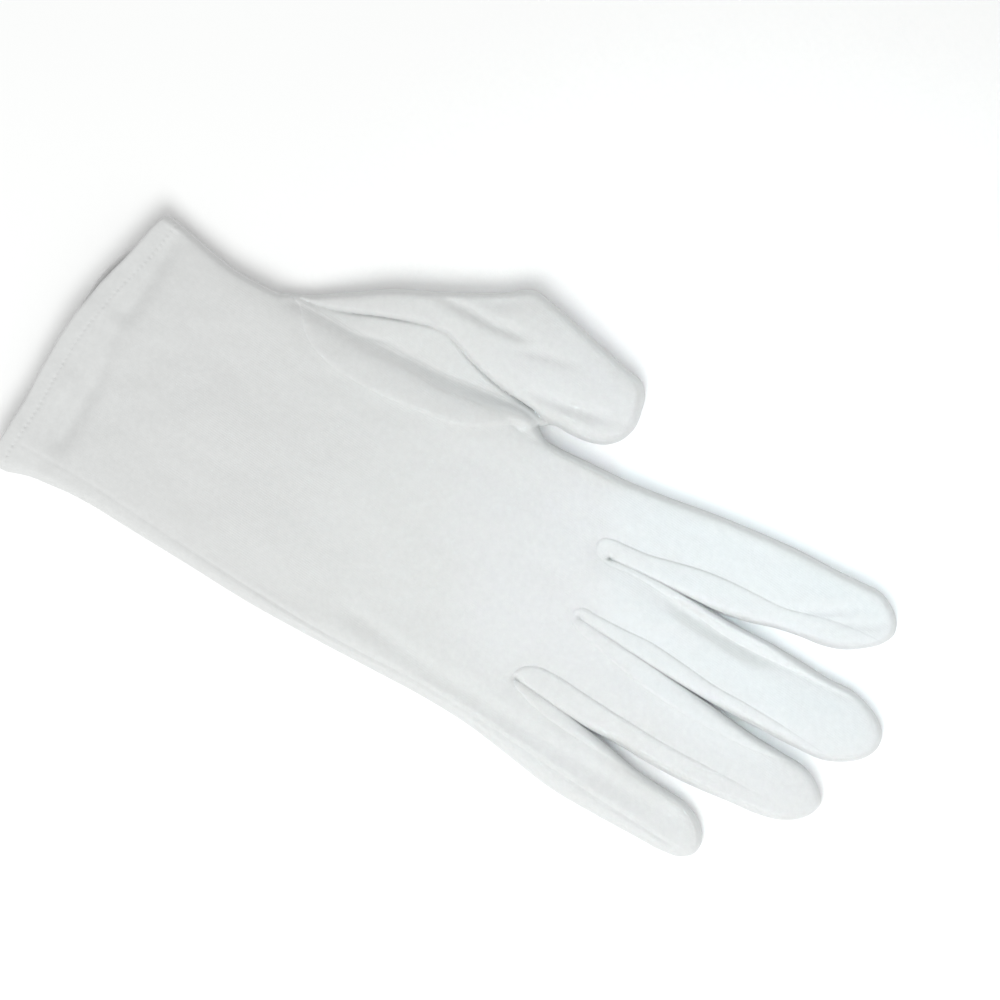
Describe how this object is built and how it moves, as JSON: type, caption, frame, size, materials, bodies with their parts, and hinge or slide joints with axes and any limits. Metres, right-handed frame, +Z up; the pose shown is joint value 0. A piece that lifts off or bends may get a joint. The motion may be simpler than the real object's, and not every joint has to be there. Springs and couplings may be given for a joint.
{
  "type": "cotton dress glove",
  "caption": "White cotton dress glove for a left hand, lying palm up: palm and back, set-in thumb, side strips between the fingers and a turned hem.",
  "frame": {"origin": "middle of the underside of the box round the glove as it lies", "axes": "+X from the wrist opening to the fingertips, +Y towards the thumb, +Z up off the table, out of the palm"},
  "size_m": [0.2554, 0.125, 0.0121],
  "materials": {
    "cotton": "fine white cotton knit, matt",
    "cotton_strip": "fine white cotton knit, matt",
    "cotton_hem": "fine white cotton knit, turned in and stitched"
  },
  "bodies": {
    "root": {"trank_palm": "cotton", "trank_side": "cotton", "trank_back": "cotton", "thumb": "cotton", "fourchette_index_middle": "cotton_strip", "fourchette_middle_ring": "cotton_strip", "fourchette_ring_little": "cotton_strip", "cuff_hem": "cotton_hem"}
  },
  "joints": []
}
